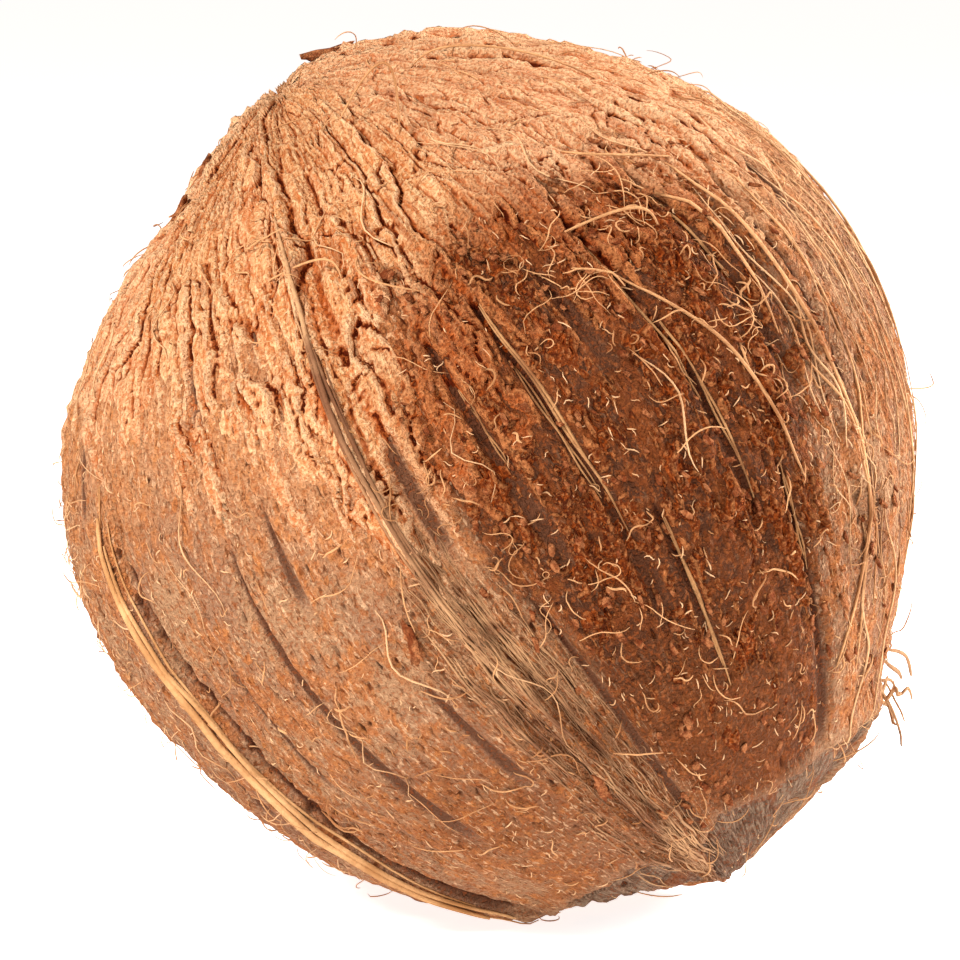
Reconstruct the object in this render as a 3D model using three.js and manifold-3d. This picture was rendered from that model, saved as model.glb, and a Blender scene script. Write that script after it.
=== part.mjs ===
// A brown coconut with its outer husk pulled off, lying on a small flat spot.
//
// The nut grows about one axis, from the blossom end to the eye end. Places on it are given by
// two angles in degrees: "down" runs from 0 at the blossom end to 180 at the eye end, and
// "round" turns about the axis from 0 at the front, growing to the right. The grain of the
// shell follows lines of nearly constant "round": three raised seams, the grooves between the
// old husk bundles, and the strips of bark that lie between those grooves.
//
// Millimetres, +Z up, the floor at z = 0, the front facing -Y.

import * as THREE from "three";
import { mergeVertices } from "three/addons/utils/BufferGeometryUtils.js";
import Module from "manifold-3d";

// --- Driving dimensions -------------------------------------------------------------------

const HALF_WIDTH = 53.6; // from the middle to the side, before the swells below
const HALF_LENGTH = 57.6; // from the middle to either end, before the swells below
const CENTRE_HEIGHT = 55.6; // from the floor to the middle: less than the radius, so a flat is cut
const LEAN = 30; // the blossom end leans this far to the left of straight up
const FLAT_CUT = { side: 90, height: 30 }; // the block that takes the flat spot off

// Broad swells and dents of the grown nut: where, how far out, and how wide.
const SHOULDER = { down: 70, rise: 2.2, spread: 32 };
const SWELLS = [
  { down: 0, round: 0, rise: 1.6, spread: 16 },
  { down: 180, round: 0, rise: 1.8, spread: 20 },
  { down: 18, round: -90, rise: -2.4, spread: 21 },
  { down: 133, round: 90, rise: -2.2, spread: 22 },
  { down: 66, round: -90, rise: 1.5, spread: 26 },
  { down: 160, round: 95, rise: 1.8, spread: 12 },
];
const SEAM_SPACING = 120; // three seams, evenly round the nut
const SEAM_AT = -10; // where the front seam crosses the girth
const SEAM_SWELL = 0.5; // the nut is faintly three-sided, highest at its seams

// Between each two seams the eye end has a hollow, and in each hollow an eye.
const HOLLOW = { down: 163, round: 60, depth: 2.4, reach: 15, rim: 0.7, rimWidth: 3 };
const EYE = { down: 168, radius: 3.8, deep: 2.8, standOff: 1.2 };

// The grain turns with the seams as they close on the eye end.
const GRAIN_TURN = { from: 85, over: 75, by: 10, power: 1.5, rightOf: 24, leftOf: 46 };
// The grain at the left bends towards the front below the girth.
const GRAIN_BEND = { at: -59, by: 7, spread: 14, from: 66, to: 98 };
const GRAIN_WOBBLE = { by: 0.8, length: 14, turns: 3 };

// Grain lines at the front, with the spans where each opens as a groove (height under 0) or
// stands up as a strand or a seam: from and to are "down" angles.
const LINE_HALF_WIDTH = 1.25;
const FRONT_LINES = [
  { at: -61, spans: [{ from: 64, to: 152, height: 1.3 }] },
  { at: -57.4, spans: [{ from: 62, to: 150, height: -1.3 }] },
  { at: -46.6, spans: [{ from: 22, to: 50, height: -0.9 }, { from: 86, to: 114, height: -0.9 }] },
  { at: -34.4, spans: [{ from: 42, to: 62, height: -1.9 }, { from: 74, to: 131, height: -1.0 }] },
  { at: -26.5, spans: [{ from: 16, to: 46, height: -0.9 }, { from: 72, to: 90, height: -0.9 }] },
  { at: -20, spans: [{ from: 34, to: 58, height: -1.0 }, { from: 100, to: 126, height: -0.9 }] },
  { at: -14.6, spans: [{ from: 94, to: 146, height: 0.7 }] },
  { at: -10, spans: [{ from: 8, to: 166, height: 1.4 }] },
  { at: -6.2, spans: [{ from: 40, to: 92, height: -1.3 }, { from: 96, to: 150, height: 0.8 }] },
  { at: -1.5, spans: [{ from: 30, to: 64, height: -1.1 }, { from: 98, to: 150, height: -1.0 }] },
  { at: 5, spans: [{ from: 14, to: 40, height: -0.9 }, { from: 62, to: 100, height: -1.2 }] },
  { at: 13.5, spans: [{ from: 60, to: 114, height: -1.7 }] },
  { at: 18.4, spans: [{ from: 24, to: 52, height: -1.0 }, { from: 95, to: 126, height: -1.3 }] },
  { at: 23.4, spans: [{ from: 62, to: 80, height: -1.1 }] },
  { at: 32, spans: [{ from: 58, to: 112, height: -1.8 }] },
  { at: 38.4, spans: [{ from: 18, to: 50, height: -0.9 }, { from: 100, to: 150, height: -1.6 }] },
  { at: 46.6, spans: [{ from: 56, to: 96, height: -1.6 }] },
  { at: 54, spans: [{ from: 66, to: 124, height: 0.9 }] },
  { at: 58.2, spans: [{ from: 66, to: 130, height: -1.1 }] },
];
// Past the front the lines carry on all round to the first one, about this far apart.
const BACK_SPACING = { degrees: 10, jitter: 1.4 };
const BACK_SPAN = { shortest: 24, spread: 34, shallowest: 0.8, depth: 1.0 };
const BACK_SEAM_SPANS = [{ from: 8, to: 166, height: 1.4 }];
const SPAN_FADE = 9; // degrees over which a groove or strand dies away at its ends

// Bark is left on the blossom half, in plates that end raggedly at about this "down".
const BARK = { edge: 58, ragged: 9, thin: 0.2, thick: 2.1, shortest: 9, spread: 15, crack: 0.6 };
const SHELL_UNEVEN = 0.3; // below the bark the strips differ by no more than this

const ROWS = 32; // bands of the surface from end to end
const ROW_CROWDING = 0.09; // they lie closer at the eye end, where the shape changes fastest
const END_CALM = 14; // relief fades out this close to either end, in degrees

// Loose fibres, each a three-sided strand with its ends sunk in the nut.
const FIBRE = { radius: 0.46, sides: 3, sunk: 1.7, steps: 6 };
const FIBRE_COUNT = 42;
const FIBRE_LENGTH = { shortest: 9, spread: 15 };
const FIBRE_LIFT = { least: 1.6, spread: 1.8 };
const FIBRE_CURL = 34; // how far a fibre may turn off the grain, in degrees
const FIBRE_CLEARANCE = 20; // none starts or ends lower than this above the floor
// Two long loops stand off the upper half, each given by its ends and its height.
const LOOPS = [
  { from: [21, 57], to: [45, 70], lift: 7, bow: -7 },
  { from: [25, 34], to: [40, 20], lift: 5, bow: 6 },
];
// A tuft of stiff husk threads stands out at the right of the eye end.
const TUFT = { down: 148, round: 84, threads: 4, length: 9, radius: 0.6, splay: 26 };
// Husk flakes that lift off the surface: where, how long, wide and thick, and how steeply.
const FLAKES = [
  { down: 12, round: 129, size: [11, 5, 1.2], tilt: 16 },
  { down: 15, round: -62, size: [9, 5, 1.2], tilt: 20 },
  { down: 38, round: -98, size: [8, 4, 1.2], tilt: 26 },
  { down: 52, round: 140, size: [9, 5, 1.2], tilt: 20 },
];
const FLAKE_STEPS = 3; // bends along a flake

const SEED = 4177;
const SHELL_COLOUR = 0x9a5a33;

// --- Small helpers ------------------------------------------------------------------------

const rad = THREE.MathUtils.degToRad;
const deg = THREE.MathUtils.radToDeg;
const { clamp, lerp, euclideanModulo, smoothstep } = THREE.MathUtils;

// Repeatable chance: the same seed always grows the same nut.
function makeChance(seed) {
  let state = seed;
  return () => {
    state = (Math.imul(state, 1664525) + 1013904223) >>> 0;
    return state / 2 ** 32;
  };
}

// 1 at the middle of a swell, falling away smoothly past its spread.
function bell(away, spread) {
  return Math.exp(-((away / spread) ** 2));
}

// The angle's shortest way round, from -180 to 180.
function nearest(angle) {
  return euclideanModulo(angle + 180, 360) - 180;
}

function direction(down, round) {
  const out = Math.sin(rad(down));
  return new THREE.Vector3(
    out * Math.sin(rad(round)),
    -out * Math.cos(rad(round)),
    Math.cos(rad(down)),
  );
}

function anglesOf(point) {
  const unit = point.clone().normalize();
  return {
    down: deg(Math.acos(clamp(unit.z, -1, 1))),
    round: deg(Math.atan2(unit.x, -unit.y)),
  };
}

function apart(down, round, place) {
  return deg(direction(down, round).angleTo(direction(place.down, place.round)));
}

// --- The nut's broad shape ----------------------------------------------------------------

// How far the grain at this place has turned from its longitude at the girth.
function grainTurn(along, down) {
  const fromSeam = nearest((along - SEAM_AT) * 3) / 3;
  const side = fromSeam > 0 ? GRAIN_TURN.rightOf : GRAIN_TURN.leftOf;
  const share = 1 - smoothstep(Math.abs(fromSeam), 0, side);
  const depth = clamp((down - GRAIN_TURN.from) / GRAIN_TURN.over, 0, 1);
  const bend = GRAIN_BEND.by * bell(nearest(along - GRAIN_BEND.at), GRAIN_BEND.spread);
  const bent = bend * smoothstep(down, GRAIN_BEND.from, GRAIN_BEND.to);
  return GRAIN_TURN.by * depth ** GRAIN_TURN.power * share + bent;
}

function hollowDepth(down, round) {
  const sector = nearest((round - HOLLOW.round) * 3) / 3;
  const away = apart(down, sector, { down: HOLLOW.down, round: 0 });
  const bowl = clamp(1 - (away / HOLLOW.reach) ** 2, 0, 1);
  return HOLLOW.depth * bowl - HOLLOW.rim * bell(away - HOLLOW.reach, HOLLOW.rimWidth);
}

function seamDrift(down) {
  const depth = clamp((down - GRAIN_TURN.from) / GRAIN_TURN.over, 0, 1);
  return SEAM_AT + GRAIN_TURN.by * depth ** GRAIN_TURN.power;
}

// From the middle of the nut to its surface, without grooves, strands or bark.
function broadRadius(down, round) {
  const across = Math.sin(rad(down));
  const lengthwise = Math.cos(rad(down));
  let radius = 1 / Math.hypot(across / HALF_WIDTH, lengthwise / HALF_LENGTH);
  radius += SHOULDER.rise * bell(down - SHOULDER.down, SHOULDER.spread);
  radius += SEAM_SWELL * Math.cos(rad(3 * (round - seamDrift(down)))) * across ** 2;
  for (const swell of SWELLS) {
    radius += swell.rise * bell(apart(down, round, swell), swell.spread);
  }
  return radius - hollowDepth(down, round);
}

function surfacePoint(down, round, above) {
  return direction(down, round).multiplyScalar(broadRadius(down, round) + above);
}

// --- Grain lines, grooves and bark --------------------------------------------------------

// The grooves at the sides and back open and close where they like.
function backSpans(chance) {
  const from = 20 + 60 * chance();
  const first = from + BACK_SPAN.shortest + BACK_SPAN.spread * chance();
  const second = first + BACK_SPAN.shortest;
  const depth = () => -(BACK_SPAN.shallowest + BACK_SPAN.depth * chance());
  return [
    { from, to: first, height: depth() },
    { from: second, to: Math.min(second + BACK_SPAN.shortest, 152), height: depth() },
  ];
}

function linesBetween(start, end, chance) {
  const gaps = Math.round((end - start) / BACK_SPACING.degrees);
  const lines = [];
  for (let i = 1; i < gaps; i++) {
    const at = lerp(start, end, i / gaps) + BACK_SPACING.jitter * (2 * chance() - 1);
    lines.push({ at, spans: backSpans(chance) });
  }
  return lines;
}

function backLines(chance) {
  const seams = [SEAM_AT + SEAM_SPACING, SEAM_AT + 2 * SEAM_SPACING];
  const stops = [FRONT_LINES.at(-1).at, ...seams, FRONT_LINES[0].at + 360];
  const lines = [];
  for (let i = 0; i + 1 < stops.length; i++) {
    if (i > 0) lines.push({ at: stops[i], spans: BACK_SEAM_SPANS });
    lines.push(...linesBetween(stops[i], stops[i + 1], chance));
  }
  return lines;
}

// Each strip of surface to the right of a line is a row of plates of differing thickness.
function stripPlates(chance) {
  const plates = [];
  let end = 0;
  while (end < 180) {
    end += BARK.shortest + BARK.spread * chance();
    plates.push({ end, thickness: chance() });
  }
  const barkEnd = BARK.edge + BARK.ragged * (2 * chance() - 1);
  return { plates, barkEnd };
}

function stripHeight(strip, down) {
  const plate = strip.plates.find((one) => down < one.end) ?? strip.plates.at(-1);
  const bark = lerp(BARK.thin, BARK.thick, plate.thickness);
  const bare = SHELL_UNEVEN * (plate.thickness - 0.5);
  return lerp(bark, bare, smoothstep(down, strip.barkEnd - 3, strip.barkEnd + 3));
}

function growLines() {
  const chance = makeChance(SEED);
  const lines = [...FRONT_LINES, ...backLines(chance)];
  return lines.map((line) => ({ ...line, ...stripPlates(chance) }));
}

function spanHeight(line, down) {
  let height = 0;
  for (const { from, to, height: full } of line.spans) {
    const opening = smoothstep(down, from - SPAN_FADE, from + SPAN_FADE);
    const closing = smoothstep(down, to - SPAN_FADE, to + SPAN_FADE);
    height += full * opening * (1 - closing);
  }
  return height;
}

// Height of one of a line's three columns: its left bank, its bed or crest, its right bank.
function columnHeight(lines, index, side, down) {
  const line = lines[index];
  const left = stripHeight(lines.at(index - 1), down);
  const right = stripHeight(line, down);
  const calm = smoothstep(Math.min(down, 180 - down), 0, END_CALM);
  if (side < 0) return left * calm;
  if (side > 0) return right * calm;
  const crack = BARK.crack * (1 - smoothstep(down, line.barkEnd - 3, line.barkEnd + 3));
  return (Math.min(left, right) + spanHeight(line, down) - crack) * calm;
}

function rowAngle(share) {
  return 180 * (share + ROW_CROWDING * Math.sin(Math.PI * share));
}

// A sphere's grid, moved point by point onto the nut: three columns for each grain line.
function shellGeometry(lines) {
  const columns = 3 * lines.length;
  const grid = new THREE.SphereGeometry(1, columns, ROWS, Math.PI / 2).rotateX(Math.PI / 2);
  grid.deleteAttribute("normal");
  grid.deleteAttribute("uv");
  const shell = mergeVertices(grid);
  const places = shell.attributes.position;
  for (let i = 0; i < places.count; i++) {
    const at = anglesOf(new THREE.Vector3().fromBufferAttribute(places, i));
    const column = Math.round(euclideanModulo(at.round, 360) / (360 / columns)) % columns;
    const down = rowAngle(Math.round((at.down / 180) * ROWS) / ROWS);
    const point = shellPoint(lines, column, down);
    places.setXYZ(i, point.x, point.y, point.z);
  }
  return shell;
}

function shellPoint(lines, column, down) {
  const index = Math.floor(column / 3);
  const side = (column % 3) - 1;
  const line = lines[index];
  const phase = rad(GRAIN_WOBBLE.turns * line.at);
  const wobble = GRAIN_WOBBLE.by * Math.sin(down / GRAIN_WOBBLE.length + phase);
  const along = line.at + side * LINE_HALF_WIDTH + wobble;
  const round = along + grainTurn(line.at, down);
  return surfacePoint(down, round, columnHeight(lines, index, side, down));
}

// --- Fibres, tuft and flakes --------------------------------------------------------------

// A closed strand along a curve, thinning towards its ends.
function strandGeometry(points, radius, steps) {
  const curve = new THREE.CatmullRomCurve3(points);
  const frames = curve.computeFrenetFrames(steps);
  const strand = new THREE.CylinderGeometry(1, 1, 1, FIBRE.sides, steps);
  const places = strand.attributes.position;
  for (let i = 0; i < places.count; i++) {
    const share = clamp(0.5 - places.getY(i), 0, 1);
    const step = Math.round(share * steps);
    const thick = radius * (1 - 0.3 * Math.abs(2 * share - 1));
    const point = curve
      .getPointAt(step / steps)
      .addScaledVector(frames.normals[step], thick * places.getX(i))
      .addScaledVector(frames.binormals[step], thick * places.getZ(i));
    places.setXYZ(i, point.x, point.y, point.z);
  }
  return strand;
}

// A strand from one place to another that bows sideways and stands off in its middle.
function archedFibre(from, to, lift, bow) {
  const points = [];
  for (let i = 0; i <= FIBRE.steps; i++) {
    const share = i / FIBRE.steps;
    const arch = Math.sin(Math.PI * share);
    const down = lerp(from[0], to[0], share);
    const round = lerp(from[1], to[1], share) + bow * arch;
    points.push(surfacePoint(down, round, lerp(-FIBRE.sunk, lift, arch ** 0.7)));
  }
  return strandGeometry(points, FIBRE.radius, FIBRE.steps);
}

function heightAboveFloor(down, round) {
  return standUp(surfacePoint(down, round, 0)).z;
}

function scatteredFibres() {
  const chance = makeChance(SEED + 1);
  const fibres = [];
  while (fibres.length < FIBRE_COUNT) {
    const down = 26 + 118 * chance();
    const round = 360 * chance();
    const length = deg((FIBRE_LENGTH.shortest + FIBRE_LENGTH.spread * chance()) / HALF_WIDTH);
    const turn = rad(FIBRE_CURL * (2 * chance() - 1));
    const lift = FIBRE_LIFT.least + FIBRE_LIFT.spread * chance();
    const bow = 5 * (2 * chance() - 1);
    const endDown = down + length * Math.cos(turn);
    const endRound = round + (length * Math.sin(turn)) / Math.sin(rad(down));
    const lowest = Math.min(heightAboveFloor(down, round), heightAboveFloor(endDown, endRound));
    if (lowest < FIBRE_CLEARANCE || endDown > 152) continue;
    fibres.push(archedFibre([down, round], [endDown, endRound], lift, bow));
  }
  return fibres;
}

function tuftThreads() {
  const chance = makeChance(SEED + 2);
  const outward = direction(TUFT.down, TUFT.round);
  const threads = [];
  for (let i = 0; i < TUFT.threads; i++) {
    const root = surfacePoint(TUFT.down - 2 * i, TUFT.round, -FIBRE.sunk);
    const aim = outward.clone();
    aim.applyAxisAngle(new THREE.Vector3(0, 1, 0), rad(TUFT.splay * (i - 1.5) * 0.7));
    aim.applyAxisAngle(new THREE.Vector3(0, 0, 1), rad(TUFT.splay * (2 * chance() - 1)));
    const reach = TUFT.length * (0.75 + 0.25 * chance());
    const middle = root.clone().addScaledVector(outward, reach * 0.5);
    const tip = middle.clone().addScaledVector(aim, reach * 0.5);
    threads.push(strandGeometry([root, middle, tip], TUFT.radius, 3));
  }
  return threads;
}

// A thin slab that leaves the surface at its lower end and bends back towards it.
function flakeGeometry({ down, round, size, tilt }) {
  const [length, width, thickness] = size;
  const flake = new THREE.BoxGeometry(width, length, thickness, 1, FLAKE_STEPS, 1);
  const places = flake.attributes.position;
  for (let i = 0; i < places.count; i++) {
    const share = places.getY(i) / length;
    const narrow = 1 - 0.45 * Math.abs(share + 0.1) * 2;
    places.setX(i, places.getX(i) * narrow);
    places.setZ(i, places.getZ(i) - 1.6 * share ** 2 * 2);
  }
  const outward = direction(down, round);
  const upGrain = direction(Math.max(down - 90, 0), round).projectOnPlane(outward).normalize();
  const sideways = upGrain.clone().cross(outward);
  const seat = new THREE.Matrix4().makeBasis(sideways, upGrain, outward);
  seat.setPosition(surfacePoint(down, round, 1.2));
  return flake.rotateX(rad(tilt)).applyMatrix4(seat);
}

// --- Solids -------------------------------------------------------------------------------

const wasm = await Module();
wasm.setup();

// A three.js geometry as a closed solid that can be joined and cut.
function solid(geometry) {
  const bare = geometry.clone();
  for (const extra of ["normal", "uv"]) {
    if (bare.hasAttribute(extra)) bare.deleteAttribute(extra);
  }
  const merged = mergeVertices(bare, 1e-4);
  const vertProperties = Float32Array.from(merged.attributes.position.array);
  const triVerts = Uint32Array.from(merged.index.array);
  return new wasm.Manifold(new wasm.Mesh({ numProp: 3, vertProperties, triVerts }));
}

function geometryOf(manifold) {
  const { vertProperties, triVerts } = manifold.getMesh();
  const geometry = new THREE.BufferGeometry();
  geometry.setAttribute("position", new THREE.BufferAttribute(vertProperties, 3));
  geometry.setIndex(new THREE.BufferAttribute(triVerts, 1));
  geometry.computeVertexNormals();
  return geometry;
}

// Turns a point or geometry from the nut's own frame to how it lies on the floor.
function standUp(item) {
  const pose = new THREE.Matrix4()
    .makeTranslation(0, 0, CENTRE_HEIGHT)
    .multiply(new THREE.Matrix4().makeRotationY(rad(-LEAN)));
  return item.applyMatrix4(pose);
}

function eyeCutter(round) {
  const place = surfacePoint(EYE.down, round, EYE.standOff);
  const ball = new THREE.SphereGeometry(1, 14, 8);
  ball.scale(EYE.radius, EYE.radius, EYE.deep);
  const upright = new THREE.Vector3(0, 0, 1);
  const turn = new THREE.Quaternion().setFromUnitVectors(upright, direction(EYE.down, round));
  return ball.applyQuaternion(turn).translate(place.x, place.y, place.z);
}

function growCoconut() {
  let nut = solid(standUp(shellGeometry(growLines())));
  const loops = LOOPS.map((loop) => archedFibre(loop.from, loop.to, loop.lift, loop.bow));
  const flakes = FLAKES.map(flakeGeometry);
  for (const piece of [...scatteredFibres(), ...loops, ...tuftThreads(), ...flakes]) {
    nut = nut.add(solid(standUp(piece)));
  }
  for (let i = 0; i < 3; i++) {
    nut = nut.subtract(solid(standUp(eyeCutter(HOLLOW.round + i * SEAM_SPACING))));
  }
  const floorBlock = new THREE.BoxGeometry(FLAT_CUT.side, FLAT_CUT.side, FLAT_CUT.height);
  return nut.subtract(solid(floorBlock.translate(0, 0, -FLAT_CUT.height / 2)));
}

const shellMaterial = new THREE.MeshStandardMaterial({
  color: SHELL_COLOUR,
  roughness: 0.85,
  metalness: 0,
});

const coconut = new THREE.Mesh(geometryOf(growCoconut()), shellMaterial);
coconut.name = "coconut";

const part = new THREE.Group();
part.add(coconut);

export default part;
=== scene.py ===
import itertools
import math

import bmesh
import bpy
import numpy as np
from mathutils import Matrix, Vector
from mathutils.bvhtree import BVHTree


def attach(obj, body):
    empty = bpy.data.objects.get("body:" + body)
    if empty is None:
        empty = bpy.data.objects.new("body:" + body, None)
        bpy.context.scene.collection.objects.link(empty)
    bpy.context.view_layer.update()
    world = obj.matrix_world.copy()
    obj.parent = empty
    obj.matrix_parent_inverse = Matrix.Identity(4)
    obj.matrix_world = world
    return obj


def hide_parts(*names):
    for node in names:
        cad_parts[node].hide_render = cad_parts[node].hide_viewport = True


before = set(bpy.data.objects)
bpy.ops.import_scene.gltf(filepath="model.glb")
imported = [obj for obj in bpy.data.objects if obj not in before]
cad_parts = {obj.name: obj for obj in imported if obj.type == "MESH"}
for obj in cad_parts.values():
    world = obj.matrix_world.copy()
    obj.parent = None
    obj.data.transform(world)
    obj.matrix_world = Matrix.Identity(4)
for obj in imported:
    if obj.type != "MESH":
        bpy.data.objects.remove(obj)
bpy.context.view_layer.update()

# A husked coconut, lying with its blossom end up to the left and its eye end low at the
# right. Places on it are given in degrees: "down" from the blossom end (0) to the eye end
# (180), and "along", which names a line of the grain by its turn from the front, growing to
# the right. Sizes are in millimetres until a point is handed to Blender.

MM = 0.001
BODY = "root"
NODE = "coconut"

# --- The grown shape, the same as the solid's ---

HALF_WIDTH = 53.6
HALF_LENGTH = 57.6
CENTRE_HEIGHT = 55.6
LEAN = 30
SHOULDER = {"down": 70, "rise": 2.2, "spread": 32}
SWELLS = [  # down, round, rise, spread
    (0, 0, 1.6, 16),
    (180, 0, 1.8, 20),
    (18, -90, -2.4, 21),
    (133, 90, -2.2, 22),
    (66, -90, 1.5, 26),
    (160, 95, 1.8, 12),
]
SEAM_AT = -10
SEAM_SPACING = 120
SEAM_SWELL = 0.5
HOLLOW = {"down": 163, "round": 60, "depth": 2.4, "reach": 15, "rim": 0.7, "rim_width": 3}
EYE = {"down": 168, "radius": 3.8, "depth": 1.6}
SCAR = {"down": 148.5, "round": -32, "length": 4.0, "width": 1.3, "depth": 2.2}
GRAIN_TURN = {"from": 85, "over": 75, "by": 10, "power": 1.5, "right_of": 24, "left_of": 46}
GRAIN_BEND = {"at": -59, "by": 7, "spread": 14, "from": 66, "to": 98}
GRAIN_WOBBLE = {"by": 0.8, "length": 14, "turns": 3}
SEED = 4177

# Lines of the grain, each with the spans where it opens as a groove (height under 0) or
# stands up as a strand or seam: the span's start and end, and its height.
FRONT_LINES = [
    (-61, [(64, 152, 1.3)]),
    (-58.3, [(60, 150, -1.8)]),
    (-46.6, [(22, 50, -0.9), (86, 114, -0.9)]),
    (-34.4, [(42, 62, -1.9), (74, 131, -1.0)]),
    (-26.5, [(16, 46, -0.9), (72, 90, -0.9)]),
    (-20, [(34, 58, -1.0), (100, 126, -0.9)]),
    (-14.6, [(94, 146, 0.7)]),
    (-10, [(8, 166, 1.4)]),
    (-6.2, [(40, 92, -1.3), (96, 150, 0.8)]),
    (-1.5, [(30, 64, -1.1), (98, 150, -1.0)]),
    (5, [(14, 40, -0.9), (62, 100, -1.2)]),
    (13.5, [(60, 114, -1.7)]),
    (18.4, [(24, 52, -1.0), (95, 126, -1.3)]),
    (23.4, [(62, 80, -1.1)]),
    (32, [(58, 112, -1.8)]),
    (38.4, [(18, 50, -0.9), (100, 150, -1.6)]),
    (46.6, [(56, 96, -1.6)]),
    (54, [(66, 124, 0.9)]),
    (58.2, [(66, 130, -1.1)]),
]
BACK_SPACING = {"degrees": 10, "jitter": 1.4}
BACK_SPAN = {"shortest": 24, "spread": 34, "shallowest": 0.8, "depth": 1.0}
BACK_SEAM_SPANS = [(8, 166, 1.4)]
GROOVE = {"narrow": 0.5, "wide": 1.7, "opening": 3, "closing": 10}  # mm across, degrees along
STRAND_HALF_WIDTH = 1.1

GIRTH = 54.5  # the nut's radius where the grain is measured, in mm
MM_PER_DEGREE = 0.98  # length of surface in one degree of "down"


def step(value, low, high):
    """0 below low, 1 above high, and smooth between."""
    share = np.clip((value - low) / (high - low), 0, 1)
    return share * share * (3 - 2 * share)


def bell(away, spread):
    return np.exp(-((away / spread) ** 2))


def nearest(angle):
    return (angle + 180) % 360 - 180


def direction(down, turn):
    """Unit vectors from the nut's middle, with the last axis x, y, z."""
    down, turn = np.radians(down), np.radians(turn)
    out = np.sin(down)
    return np.stack([out * np.sin(turn), -out * np.cos(turn), np.cos(down) + 0 * turn], -1)


def apart(down, turn, other_down, other_turn):
    """Degrees between two places."""
    facing = direction(down, turn) @ direction(np.float64(other_down), np.float64(other_turn))
    return np.degrees(np.arccos(np.clip(facing, -1, 1)))


def from_seam(turn):
    """Signed degrees to the nearest of the three seams."""
    return nearest((turn - SEAM_AT) * 3) / 3


def turn_depth(down):
    return np.clip((down - GRAIN_TURN["from"]) / GRAIN_TURN["over"], 0, 1) ** GRAIN_TURN["power"]


def true_turn(along, down):
    """The longitude that a line of the grain has reached at this place."""
    seam = from_seam(along)
    side = np.where(seam > 0, GRAIN_TURN["right_of"], GRAIN_TURN["left_of"])
    share = 1 - step(np.abs(seam), 0, side)
    bend = GRAIN_BEND["by"] * bell(nearest(along - GRAIN_BEND["at"]), GRAIN_BEND["spread"])
    bent = bend * step(down, GRAIN_BEND["from"], GRAIN_BEND["to"])
    phase = np.radians(GRAIN_WOBBLE["turns"] * along)
    wobble = GRAIN_WOBBLE["by"] * np.sin(down / GRAIN_WOBBLE["length"] + phase)
    return along + wobble + GRAIN_TURN["by"] * turn_depth(down) * share + bent


def hollow_away(down, turn):
    """Degrees to the middle of the nearest hollow of the eye end."""
    sector = nearest((turn - HOLLOW["round"]) * 3) / 3
    return apart(down, sector, HOLLOW["down"], 0)


def broad_radius(down, turn):
    """From the nut's middle to its surface, without grooves, strands or bark."""
    across, lengthwise = np.sin(np.radians(down)), np.cos(np.radians(down))
    radius = 1 / np.hypot(across / HALF_WIDTH, lengthwise / HALF_LENGTH)
    radius += SHOULDER["rise"] * bell(down - SHOULDER["down"], SHOULDER["spread"])
    seam = SEAM_AT + GRAIN_TURN["by"] * turn_depth(down)
    radius += SEAM_SWELL * np.cos(np.radians(3 * (turn - seam))) * across**2
    for swell_down, swell_turn, rise, spread in SWELLS:
        radius += rise * bell(apart(down, turn, swell_down, swell_turn), spread)
    away = hollow_away(down, turn)
    bowl = np.clip(1 - (away / HOLLOW["reach"]) ** 2, 0, 1)
    rim = HOLLOW["rim"] * bell(away - HOLLOW["reach"], HOLLOW["rim_width"])
    return radius - HOLLOW["depth"] * bowl + rim


def lean(vectors):
    """Turns vectors from the nut's own frame to how it lies on the floor."""
    return vectors @ np.array(Matrix.Rotation(math.radians(-LEAN), 3, "Y")).T


def on_nut(along, down, above):
    """Points in mm that stand above the nut's broad shape by so much."""
    turn = true_turn(along, down)
    radius = broad_radius(down, turn) + above
    points = lean(direction(down, turn) * radius[..., None]) + (0, 0, CENTRE_HEIGHT)
    points[..., 2] = np.maximum(points[..., 2], np.clip(-0.2 * above, 0, 0.5))
    return points


# --- Grain, grooves and strands ---


def chance_of(seed):
    return np.random.default_rng(seed)


def make_chance(seed):
    """The same repeatable draws as the solid's, so that the back grooves fall alike."""
    state = [seed]

    def draw():
        state[0] = (state[0] * 1664525 + 1013904223) % 2**32
        return state[0] / 2**32

    return draw


def back_spans(chance):
    start = 20 + 60 * chance()
    first = start + BACK_SPAN["shortest"] + BACK_SPAN["spread"] * chance()
    second = first + BACK_SPAN["shortest"]
    depths = [-(BACK_SPAN["shallowest"] + BACK_SPAN["depth"] * chance()) for _ in range(2)]
    end = min(second + BACK_SPAN["shortest"], 152)
    return [(start, first, depths[0]), (second, end, depths[1])]


def back_lines():
    chance = make_chance(SEED)
    seams = [SEAM_AT + SEAM_SPACING, SEAM_AT + 2 * SEAM_SPACING]
    stops = [FRONT_LINES[-1][0], *seams, FRONT_LINES[0][0] + 360]
    lines = []
    for number, (start, end) in enumerate(zip(stops, stops[1:])):
        if number:
            lines.append((start, BACK_SEAM_SPANS))
        gaps = math.floor((end - start) / BACK_SPACING["degrees"] + 0.5)
        for i in range(1, gaps):
            shift = BACK_SPACING["jitter"] * (2 * chance() - 1)
            lines.append((start + (end - start) * i / gaps + shift, back_spans(chance)))
    return lines


LINES = FRONT_LINES + back_lines()


def mm_across(down):
    """Length of surface across the grain in one degree of turn."""
    return math.radians(1) * GIRTH * np.sin(np.radians(down))


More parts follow.
